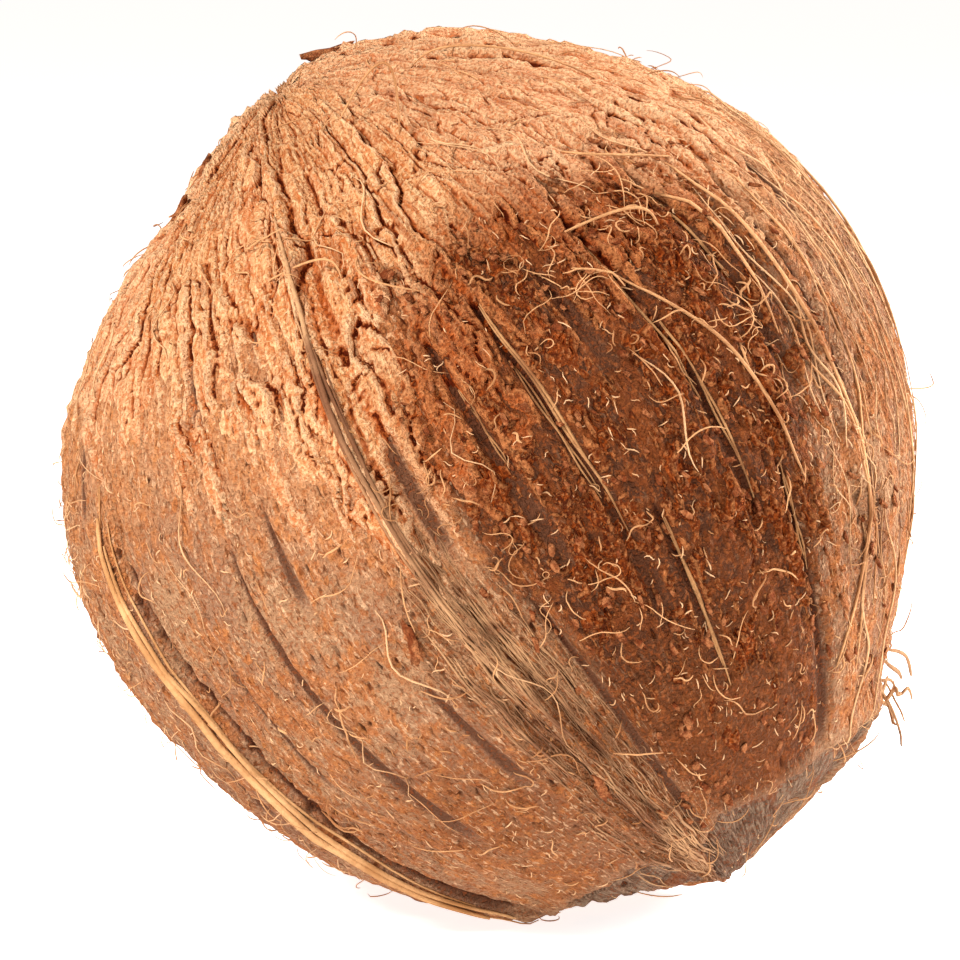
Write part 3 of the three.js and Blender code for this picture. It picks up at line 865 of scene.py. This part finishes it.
def coir(name, dark, light):
    """Dry coir, pulled from the husk: a dull straw colour that varies from thread to thread."""
    material, tree = new_material(name)
    speck = (patches, 0.9, 0.5, 0.62, 3.0, 0.0)
    base = lay(tree, dark, (light, (patches, 12, 0.3, 0.6)), (dark, speck, 0.3))
    ribs = patches(tree, 0.6, 0.4, 0.6)
    finish_material(tree, base, ribs, depth=0.05, roughness=0.75, specular=0.2)
    return material


def husk_scrap():
    """Scraps of the same torn husk: rust-coloured and gritty, with paler patches."""
    material, tree = new_material("torn_husk_scraps")
    pale = ("#b26f44", (patches, 1.6, 0.4, 0.6, 5.0, 1.0))
    base = lay(tree, "#7c3d1e", pale, ("#6f2f12", (patches, 0.5, 0.5, 0.64, 4.0, 1.0), 0.6))
    grit = patches(tree, 0.7, 0.25, 0.75, 5.0, 1.0)
    finish_material(tree, base, grit, depth=0.5, roughness=0.9, specular=0.1)
    return material

# --- Layers of the nut ---

# Rows in degrees down, few of them where a layer lies under another one.
HUSK_ROWS = np.concatenate([np.linspace(0, 150, 156), np.linspace(155, 180, 7)])
SHELL_ROWS = np.concatenate([np.linspace(0, 42, 8), np.linspace(46, 180, 188)])
HUSK_COLUMNS = crowded_columns(520, 180, 8)
SHELL_COLUMNS = crowded_columns(500, -20, 22)

husk = torn_husk()
skins = [
    grow_patch("bark", BARK_PATCH, bark_height, 0.0, husk),
    grow_patch("pith", PITH_PATCH, pith_height, 1.0, husk),
    grow_layer("husk", HUSK_COLUMNS, HUSK_ROWS, husk_height, husk),
    grow_layer("shell", SHELL_COLUMNS, SHELL_ROWS, shell_height, scraped_shell()),
]

# --- Threads of coir ---

FAR = 90  # mm from the nut's middle, well outside it
MIDDLE = Vector((0, 0, CENTRE_HEIGHT)) * MM
FLOOR_GAP = 0.4  # mm kept between a thread's middle and the floor
BLUNT = 0.35  # share of a thread's thickness that is left at its ends
TRIES = 12  # places drawn for each one that is wanted
LOWEST = 4  # mm above the floor, under which nothing takes root


def hit_tree(piece):
    bm = bmesh.new()
    bm.from_mesh(piece.data)
    tree = BVHTree.FromBMesh(bm)
    bm.free()
    return tree


HIT_TREES = [hit_tree(piece) for piece in skins]


def top_of(along, down):
    """How far the husk's top lies above the broad shape, at each of these places."""
    turn = true_turn(along, down)
    tops = []
    for aim in lean(direction(down, turn)).reshape(-1, 3).tolist():
        aim = Vector(aim)
        hits = [tree.ray_cast(MIDDLE + aim * FAR * MM, -aim)[3] for tree in HIT_TREES]
        tops.append(FAR - min(hit for hit in hits if hit is not None) / MM)
    return np.array(tops).reshape(np.shape(along)) - broad_radius(down, turn)


def route(along, down, across, lengthwise):
    """Moves away from a place by mm over the surface, in the grain's own directions."""
    downs = np.clip(down + lengthwise / MM_PER_DEGREE, 1, 179)
    return along + across / mm_across(np.clip(downs, 12, 168)), downs


def wander(draw, points, length, heading, curl):
    """Ways over the surface in mm, a row for each thread, that bend by chance."""
    count, paces = len(length), points - 1
    share = np.linspace(0, 1, paces)
    waves, phase = draw.uniform(0.2, 1.1, (count, 1)), draw.uniform(0, math.tau, (count, 1))
    swing = 1.5 * curl / points * draw.normal(0.7, 0.5, (count, 1))
    kinks = draw.normal(0, 0.4 * curl / points, (count, paces))
    bends = np.cumsum(swing * np.cos(math.tau * waves * share + phase) + kinks, 1)
    turns = np.radians(heading[:, None] + bends)
    steps = np.stack([np.sin(turns), np.cos(turns)]) * (length[:, None] / paces)
    return np.pad(np.cumsum(steps, 2), ((0, 0), (0, 0), (1, 0)))


def tapered(points, radius, blunt):
    """Thickness along a thread that is thinner at both ends."""
    share = np.linspace(0, 1, points)
    return radius * (blunt + (1 - blunt) * np.sin(math.pi * share) ** 0.6)


def make_threads(name, threads, material):
    """One piece of many threads, each given as its points in mm and its radius at each."""
    curve = bpy.data.curves.new(name, "CURVE")
    curve.dimensions = "3D"
    curve.bevel_depth = MM
    curve.bevel_resolution = 0
    curve.use_fill_caps = True
    for points, radii in threads:
        spline = curve.splines.new("POLY")
        spline.points.add(len(points) - 1)
        places = np.column_stack([points * MM, np.ones(len(points))])
        spline.points.foreach_set("co", places.ravel())
        spline.points.foreach_set("radius", radii)
    wire = put(name + "_wire", curve)
    ready = wire.evaluated_get(bpy.context.evaluated_depsgraph_get())
    mesh = bpy.data.meshes.new_from_object(ready)
    mesh.name = name
    bpy.data.objects.remove(wire)
    weld(mesh, rim_only=False)
    return show(mesh, name, material)


def threads_on(alongs, downs, above, radii, blunt=BLUNT):
    """Threads through rows of places, standing so far above the broad shape at each."""
    points = on_nut(alongs, downs, above)
    points[..., 2] = np.maximum(points[..., 2], FLOOR_GAP)
    count = points.shape[1]
    return [(row, tapered(count, radius, blunt)) for row, radius in zip(points, radii)]


def scatter(draw, count, density):
    """Places over the nut, more of them where the density is nearer to 1."""
    tries = TRIES * count
    along = draw.uniform(-180, 180, tries)
    down = np.degrees(np.arccos(draw.uniform(-0.995, 0.995, tries)))
    height = lean(direction(down, true_turn(along, down)) * GIRTH)[:, 2] + CENTRE_HEIGHT
    kept = (draw.random(tries) < density(along, down)) & (height > LOWEST)
    return along[kept][:count, None], down[kept][:count, None]


def arched(draw, count, points, lowest, highest):
    """Heights along each thread, in mm: it rises from its root and may come down again."""
    lift = draw.uniform(lowest, highest, (count, 1))
    return lift * np.sin(np.linspace(0, 1, points) * draw.uniform(1.6, 3.0, (count, 1)))


def bridging(tops, reach):
    """A thread rides over what stands up, and spans the pits between."""
    for _ in range(reach):
        padded = np.pad(tops, ((0, 0), (1, 1)), "edge")
        tops = np.maximum(tops, (padded[:, :-2] + padded[:, 2:]) / 2)
    return tops


STUBBLE = {
    "count": 1700, "lengths": (0.6, 2.0), "radii": (0.05, 0.11), "lift": (0.05, 0.4),
    "turning": 60, "curl": 110,
}
FUZZ = {
    "count": 700, "lengths": (1.2, 4.0), "radii": (0.04, 0.08), "lift": (0.1, 0.6),
    "turning": 28, "curl": 70,
}


def short_ends(draw, density, count, lengths, radii, lift, turning, curl):
    """Short broken ends of coir that stand off the husk. They turn from the grain by about
    so many degrees, and curl by so many."""
    along, down = scatter(draw, count, density)
    count = len(along)
    length, heading = draw.uniform(*lengths, count), draw.normal(0, turning, count)
    alongs, downs = route(along, down, *wander(draw, 6, length, heading, curl))
    above = top_of(along, down) - 0.1 + arched(draw, count, 6, *lift)
    return threads_on(alongs, downs, above, draw.uniform(*radii, count))


def curled(draw, along, down, typical, highest):
    """Loose curly threads from the given places, most of them about as long as typical."""
    count = len(along)
    length = np.clip(typical * draw.lognormal(0, 0.5, count), 1.3, 9)
    ways = wander(draw, 12, length, draw.normal(0, 70, count), 230)
    alongs, downs = route(along, down, *ways)
    above = bridging(top_of(alongs, downs), 4) + arched(draw, count, 12, 0.1, highest)
    radii = np.clip(draw.lognormal(-2.35, 0.3, count), 0.06, 0.2)
    return threads_on(alongs, downs, above, radii)


def curls(draw, count):
    """Loose curls all over the nut."""
    return curled(draw, *scatter(draw, count, curl_density), typical=2.86, highest=0.9)


TANGLES = [  # down and along, how many curls, and mm over which they spread
    (38, -17, 12, 2.4), (62, 21.5, 14, 2.2), (60, 38, 12, 3.0), (76.5, -3.5, 10, 3.6),
    (90, -1, 8, 3.0), (97.5, -30.5, 5, 1.5), (84.5, 45, 12, 4.5), (73.5, 42.5, 9, 3.5),
    (66, 29, 6, 2.5),
]


def tangles(draw):
    """Curls that crowd together."""
    threads = []
    for down, along, count, spread in TANGLES:
        across, lengthwise = draw.normal(0, spread, (2, count, 1))
        alongs, downs = route(along, down, across, lengthwise)
        threads += curled(draw, alongs, downs, typical=4.6, highest=1.5)
    return threads


def zoned(least, *zones):
    """How thick something grows: the least of it anywhere, and its zones, each as its share
    and the low, high and fade of "along" and of "down"."""

    def density(along, down):
        shares = [share * hump(along, *sides) * hump(down, *ends) for share, sides, ends in zones]
        return np.maximum.reduce([*shares, np.full_like(down, least)])

    return density


PITH_ZONE = (-4, 62, 5), (50, 145, 6)
RIGHT_ZONE, SEAM_ZONE = ((50, 120, 8), (40, 150, 8)), ((-22, 2, 4), (40, 120, 8))
stubble_density = zoned(0.22, (1, *PITH_ZONE), (0.6, (-100, -4, 6), (55, 150, 8)))
curl_density = zoned(0.2, (1, *PITH_ZONE), (0.8, *RIGHT_ZONE), (0.9, *SEAM_ZONE))
fuzz_density = zoned(0, (1, (48, 135, 8), (44, 152, 10)))
fringe_density = zoned(0, (1, (-140, -62, 8), (56, 165, 8)))
scrap_density = zoned(0, (0.6, *PITH_ZONE))


def hair_density(along, down):
    """Anywhere, but less at the eye end."""
    return 1 - 0.5 * step(down, 160, 170)


def along_the_grain(draw, along, down, length, radius, lift, sway):
    """A strand that lies along the grain and sways a little from it."""
    share = np.linspace(0, 1, max(8, int(length / 1.3)))
    phase, waves = draw.uniform(0, math.tau), draw.uniform(0.8, 2.2)
    across = sway * (np.sin(math.tau * waves * share + phase) - math.sin(phase))
    alongs, downs = route(along, down, across[None], length * share[None])
    above = bridging(top_of(alongs, downs), 5) + 0.5 * radius
    return threads_on(alongs, downs, above + lift * np.sin(math.pi * share) ** 2, [radius])


def between(draw, given):
    """A number by chance from a range, or the number itself."""
    return draw.uniform(*given) if isinstance(given, tuple) else given


STRANDS = [  # how many; then along, down, length, radius and lift, or their ranges; sway
    (58, (46, 125), (46, 124), (10, 44), (0.07, 0.2), (0, 0.6), 1.1),
    (50, (-180, 180), (30, 110), (8, 24), (0.06, 0.14), 0.4, 1.4),
]
SEAM_STRANDS = [
    (1, -10.4, 36, 59.78, 0.38, 0, 0.2),
    (1, -9.7, 44, 49.0, 0.3, 0, 0.2),
    (1, -11.0, 52, 39.2, 0.28, 0, 0.2),
    (1, -9.1, 60, 37.24, 0.22, 0, 0.2),
]
STRANDS_END = 156


def strands(draw, table):
    """Strands along the grain, from a table."""
    threads = []
    for count, *given, sway in table:
        for _ in range(count):
            along, down, length, radius, lift = (between(draw, value) for value in given)
            length = min(length, MM_PER_DEGREE * (STRANDS_END - down))
            threads += along_the_grain(draw, along, down, length, radius, lift, sway)
    return threads


GROOVE_RIBBONS = [  # along, from, to, radius
    (14.0, 62, 97, 0.32), (13.0, 70, 92, 0.22), (31.5, 60, 92, 0.24), (32.6, 76, 104, 0.22),
    (18.9, 97, 124, 0.26), (38.9, 100, 118, 0.22), (5.4, 70, 84, 0.2), (46.9, 62, 80, 0.24),
]
LONG_STRANDS = [  # the radius, then down and along of each bend
    (0.24, [(66, 31), (75, 35), (84, 39), (97, 41), (104, 42)]),
    (0.3, [(60, 52), (70, 53.8), (88.8, 54.3), (105.9, 56.4), (120.9, 50.6), (132.7, 41.6)]),
    (0.2, [(88, 50), (93.9, 52.2), (102.8, 55.7), (113.5, 54.0), (126.6, 50.0), (136, 48)]),
    (0.2, [(64, 60), (78, 62), (96, 61), (110, 57), (128, 54)]),
    (0.24, [(58, 44), (66, 49), (74, 50), (86, 48)]),
]


def smooth_between(values, reach):
    """Values between bends, eased so that a strand turns without corners."""
    padded = np.concatenate([[2 * values[0] - values[1]], values, [2 * values[-1] - values[-2]]])
    first = np.clip(np.floor(reach).astype(int), 0, len(values) - 2)
    share = reach - first
    before, start, end, after = (padded[first + i] for i in range(4))
    bend = (end - before) * share + (2 * before - 5 * start + 4 * end - after) * share**2
    return start + 0.5 * (bend + (3 * start - before - 3 * end + after) * share**3)


def laid(bends, radius):
    """A strand through measured bends, resting on what is under it."""
    downs, alongs = np.array(bends, float).T
    reach = np.linspace(0, len(bends) - 1, 7 * len(bends))
    downs, alongs = smooth_between(downs, reach)[None], smooth_between(alongs, reach)[None]
    return threads_on(alongs, downs, bridging(top_of(alongs, downs), 6) + 0.5 * radius, [radius])


def ribbons(draw):
    """Flat strands that lie in the grooves."""
    threads = []
    for along, start, end, radius in GROOVE_RIBBONS:
        length = (end - start) * MM_PER_DEGREE
        for shift in (-0.07, 0.07):
            part = length * draw.uniform(0.75, 1)
            threads += along_the_grain(
                draw, along + shift, start, part, 0.8 * radius, lift=0, sway=0.15
            )
    return threads


def long_strands():
    """Single strands that wind over the pith."""
    return [thread for radius, bends in LONG_STRANDS for thread in laid(bends, radius)]


SEAM_BAND = {"count": 240, "along": -9.8, "down": (82, 150), "length": (3, 22), "end": 158}
SEAM_BAND_WIDTH = {"full": 6.2, "from": 66, "over": 40}  # mm, and degrees down


def seam_fibres(draw):
    """The front seam: a narrow strand above, and below a worn band of fibres side by side."""
    threads = strands(draw, SEAM_STRANDS)
    for _ in range(SEAM_BAND["count"]):
        down = draw.uniform(*SEAM_BAND["down"])
        opened = min(1, (down - SEAM_BAND_WIDTH["from"]) / SEAM_BAND_WIDTH["over"])
        spread = SEAM_BAND_WIDTH["full"] * opened / mm_across(down)
        along = SEAM_BAND["along"] + np.clip(draw.normal(0, 0.55), -1.1, 1.1) * spread
        length = min(draw.uniform(*SEAM_BAND["length"]), SEAM_BAND["end"] - down)
        radius = np.clip(draw.lognormal(-2.5, 0.45), 0.05, 0.24)
        lift = draw.uniform(-0.15, 0.12)
        threads += along_the_grain(draw, along, down, length, radius, lift, sway=0.22)
    return threads


LEFT_FIBRES = [  # mm from the strand's middle, and radius
    (-0.1, 0.62), (0.35, 0.5), (-0.55, 0.5), (-1.2, 0.2), (-1.6, 0.16), (0.8, 0.25),
]
LEFT_STRAND = {"along": -60.6, "start": (60, 68), "end": (138, 150), "mm_per_degree": 0.95}


def left_strand(draw):
    """The thick strand round the lower left, of several fibres side by side."""
    threads = []
    for shift, radius in LEFT_FIBRES:
        start, end = draw.uniform(*LEFT_STRAND["start"]), draw.uniform(*LEFT_STRAND["end"])
        along = LEFT_STRAND["along"] + shift / LEFT_STRAND["mm_per_degree"]
        length = MM_PER_DEGREE * (end - start)
        threads += along_the_grain(draw, along, start, length, radius, lift=0.1, sway=0.1)
    return threads


def flyaways(draw, density, count, longest):
    """Fine hairs that leave the husk and stand out against the light."""
    along, down = scatter(draw, count, density)
    count = len(along)
    heading, length = draw.uniform(-180, 180, count), draw.uniform(1.5, longest, count)
    alongs, downs = route(along, down, *wander(draw, 12, length, heading, 140))
    lift = 0.45 * length[:, None] * draw.uniform(0.3, 1, (count, 1))
    above = top_of(along, down) - 0.1 + lift * np.sin(np.linspace(0, 2, 12))
    return threads_on(alongs, downs, above, draw.uniform(0.06, 0.11, count))


LOOPS = [  # from and to as down and along, then mm of lift, degrees of bow, and radius
    ((21, 57), (45, 70), 6, -7, 0.16), ((24.5, 15), (33.5, 23.5), 7, 5, 0.2),
    ((5.5, 30), (17, 24), 3, 0, 0.1),
    ((44, -16), (50, -2), 2, 4, 0.16), ((48, 2), (58, 10), 2.4, -3, 0.16),
    ((60, 30), (66, 42), 2, 3, 0.2), ((50, 42), (60, 56), 2, -4, 0.18),
]


def loops():
    """Strands that spring off the husk in an arc."""
    threads = []
    share = np.linspace(0, 1, 22)
    for start, end, lift, bow, radius in LOOPS:
        arc = np.sin(math.pi * share)
        downs = start[0] + (end[0] - start[0]) * share
        alongs = start[1] + (end[1] - start[1]) * share + bow * arc / np.sin(np.radians(downs))
        ends = top_of(alongs[[0, -1]], downs[[0, -1]]) - 0.2
        above = ends[0] + (ends[1] - ends[0]) * share + lift * arc
        threads += threads_on(alongs[None], downs[None], above[None], [radius], 0.7)
    return threads


TUFT = {"down": 148, "along": 83, "count": 9}


def tuft(draw):
    """A branched tuft of coir at the lower right."""
    count = TUFT["count"]
    length, heading = draw.uniform(4, 8, count), draw.normal(0, 80, count)
    ways = wander(draw, 14, length, heading, 420)
    places = [TUFT[key] + draw.normal(0, 1.5, (count, 1)) for key in ("along", "down")]
    lift = draw.uniform(2.5, 6, (count, 1)) * np.linspace(0, 1, 14) ** 0.7
    radii = draw.uniform(0.16, 0.34, count)
    return threads_on(*route(*places, *ways), top_of(*places) - 0.2 + lift, radii, 0.6)


FLAKES = [  # down, along, length and width in mm, and degrees that it stands up; one with
    # less than 0 mm points to the blossom end
    (11.5, 116, -6.4, 3.6, -5), (16.5, -84, -5.4, 1.8, -16), (22, -66, -4.0, 1.6, -14),
    (52, 4, 2.6, 1.4, 18), (93, -16, 5.0, 1.6, 10), (124, -11, 4.4, 1.3, 8),
    (44, 200, 5.0, 3.0, 14),
]


def chip(whole, draw, along, down, length, width, tilt):
    """A thin ragged scrap of husk, held at one end."""
    bm = bmesh.new()
    sides = 7 if abs(length) < 2 else 15
    made = bmesh.ops.create_uvsphere(bm, u_segments=sides, v_segments=5, radius=1)
    place = np.array([[along], [down]], float)
    turn = true_turn(*place)[0]
    out, further = (Vector(lean(direction(np.float64(at), turn))) for at in (down, down + 1))
    lengthwise = (Matrix.Rotation(draw.normal(0, 0.35), 3, out) @ (further - out)).normalized()
    across = out.cross(lengthwise)
    raised = (Matrix.Rotation(-math.radians(tilt), 3, across) @ lengthwise).normalized()
    up = raised.cross(across)
    root = Vector(on_nut(*place, top_of(*place))[0])
    for vert in made["verts"]:
        side, long, thick = (math.copysign(abs(part) ** 0.7, part) for part in vert.co)
        bow = 0.1 * abs(length) * long**2
        ragged = 1 + draw.uniform(-0.42, 0.42)
        at = root + raised * (0.5 * length * (long * ragged + 0.8))
        at += up * (0.13 * abs(length) * thick + bow)
        at += across * (0.5 * width * side * ragged)
        at.z = max(at.z, FLOOR_GAP)
        vert.co = at * MM
    if bm.calc_volume(signed=True) < 0:
        bmesh.ops.reverse_faces(bm, faces=bm.faces)
    scrap = settle(bm, bpy.data.meshes.new("scrap"))
    whole.from_mesh(scrap)
    bpy.data.meshes.remove(scrap)


def make_flakes(name, draw, scraps, material):
    """Peeled flakes where they are seen to stand up, and small scraps over the pith at the front
    right.
    """
    bm = bmesh.new()
    for down, along, length, width, tilt in FLAKES:
        chip(bm, draw, along, down, length, width, tilt)
    for along, down in zip(*scatter(draw, scraps, scrap_density)):
        length = draw.uniform(0.7, 1.9)
        width, tilt = length * draw.uniform(0.3, 0.7), draw.uniform(5, 40)
        chip(bm, draw, along[0], down[0], length, width, tilt)
    return show(settle(bm, bpy.data.meshes.new(name)), name, material)


straw = coir("sun_dried_coir", "#9a643a", "#cc9665")
peeled = coir("peeled_strand_of_coir", "#a97444", "#dba873")
dull_straw = coir("rained_on_coir", "#7f4f2c", "#b98757")
pale_straw = coir("pale_bleached_coir", "#a9774d", "#d6a87a")
weathered = coir("grey_weathered_coir", "#71472c", "#b88a60")
broken = coir("broken_coir_ends", "#ae7543", "#deb083")
make_threads("stubble", short_ends(chance_of(1), stubble_density, **STUBBLE), broken)
make_threads("fuzz", short_ends(chance_of(9), fuzz_density, **FUZZ), pale_straw)
make_threads("curls", curls(chance_of(2), count=330) + tangles(chance_of(12)), straw)
make_threads("strands", strands(chance_of(3), STRANDS), pale_straw)
make_threads("ribbons", ribbons(chance_of(4)), dull_straw)
make_threads("long_strands", long_strands(), straw)
make_threads("seam_fibres", seam_fibres(chance_of(5)), weathered)
make_threads("left_strand", left_strand(chance_of(6)), peeled)
hairs = flyaways(chance_of(7), hair_density, count=360, longest=9)
make_threads("flyaways", hairs + loops(), straw)
fringe = flyaways(chance_of(11), fringe_density, count=280, longest=5)
make_threads("fringe", fringe, broken)
make_threads("tuft", tuft(chance_of(8)), weathered)
make_flakes("flakes", chance_of(10), scraps=400, material=husk_scrap())

# --- Floor, light and camera ---

VIEW_HEIGHT = 8  # degrees above level
VIEW_DISTANCE = 700
VIEW_AIM = Vector((-3.2, 0, 56.0)) * MM
VIEW_WIDTH = 126  # mm of the nut's own plane across the picture
SENSOR = 36
LIGHTS = [  # place and size in mm, and power in watts
    ("key", (-480, -430, 560), 240, 9.8),
    ("fill", (520, -420, 260), 500, 0.8),
    ("back_right", (640, 200, 380), 420, 11.5),
]


def make_floor():
    bm = bmesh.new()
    bmesh.ops.create_grid(bm, x_segments=1, y_segments=1, size=3)
    mesh = settle(bm, bpy.data.meshes.new("floor"))
    material, tree = new_material("matt_white_paper")
    sockets = {
        "Base Color": colour("#f4f4f4"), "Roughness": 0.9, "Specular IOR Level": 0.1,
        "Emission Color": colour("#ffffff"), "Emission Strength": 0.8,
    }
    surface = add(tree, "ShaderNodeBsdfPrincipled", sockets).outputs["BSDF"]
    add(tree, "ShaderNodeOutputMaterial", {"Surface": surface})
    mesh.materials.append(material)
    floor = put("floor", mesh)


def make_light(name, place, size, power):
    """A soft square light that faces the nut's middle."""
    data = bpy.data.lights.new(name, "AREA")
    data.energy, data.size = power, size * MM
    lamp = put(name, data)
    lamp.location = Vector(place) * MM
    lamp.rotation_euler = (VIEW_AIM - lamp.location).to_track_quat("-Z", "Y").to_euler()


def make_world(strength, tint):
    world = bpy.data.worlds.new("white_room")
    bpy.context.scene.world = world
    world.use_nodes = True
    world.node_tree.nodes.clear()
    sky = {"Color": colour(tint), "Strength": strength}
    lit = add(world.node_tree, "ShaderNodeBackground", sky).outputs[0]
    add(world.node_tree, "ShaderNodeOutputWorld", {"Surface": lit})


def make_camera():
    rise = math.radians(VIEW_HEIGHT)
    back = Vector((0, -math.cos(rise), math.sin(rise))) * VIEW_DISTANCE * MM
    data = bpy.data.cameras.new("camera")
    data.sensor_width, data.lens = SENSOR, SENSOR * VIEW_DISTANCE / VIEW_WIDTH
    camera = put("camera", data)
    camera.location = VIEW_AIM + back
    camera.rotation_euler = (-back).to_track_quat("-Z", "Y").to_euler()
    bpy.context.scene.camera = camera


make_floor()
for light in LIGHTS:
    make_light(*light)
make_world(strength=0.24, tint="#ffe6d4")
make_camera()
bpy.context.scene.view_settings.view_transform = "Standard"
